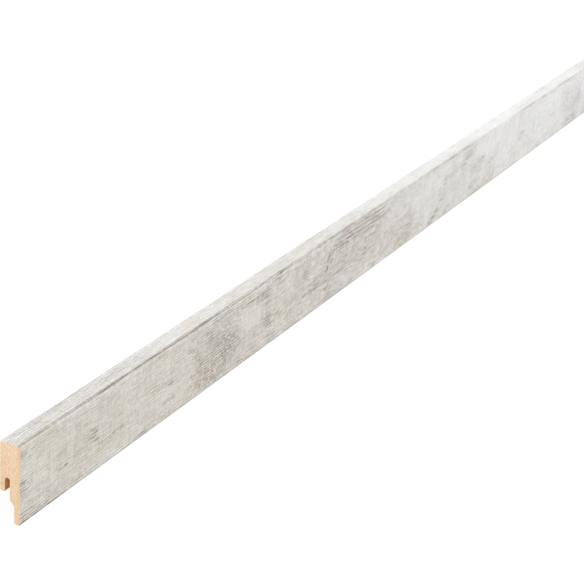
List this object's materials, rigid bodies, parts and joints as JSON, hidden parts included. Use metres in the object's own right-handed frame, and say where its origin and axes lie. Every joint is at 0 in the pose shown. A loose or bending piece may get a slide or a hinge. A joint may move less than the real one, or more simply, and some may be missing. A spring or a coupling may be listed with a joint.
{
  "type": "skirting board length",
  "caption": "Straight length of clip-on skirting board: square fibreboard profile with a rear clip slot and a thin undercut foot, wrapped in whitewashed wood decor.",
  "frame": {"origin": "middle of the board's bounding box in plan, on the floor that the wall face lies on", "axes": "+X along the board away from the end that the picture shows, +Y up the board's height towards its top edge, +Z out of the wall face towards the decor face"},
  "size_m": [2.4, 0.06, 0.016],
  "materials": {
    "fibreboard": "matte",
    "decor": "matte"
  },
  "bodies": {
    "root": {"mdf_core": "fibreboard", "decor_foil": "decor"}
  },
  "joints": []
}
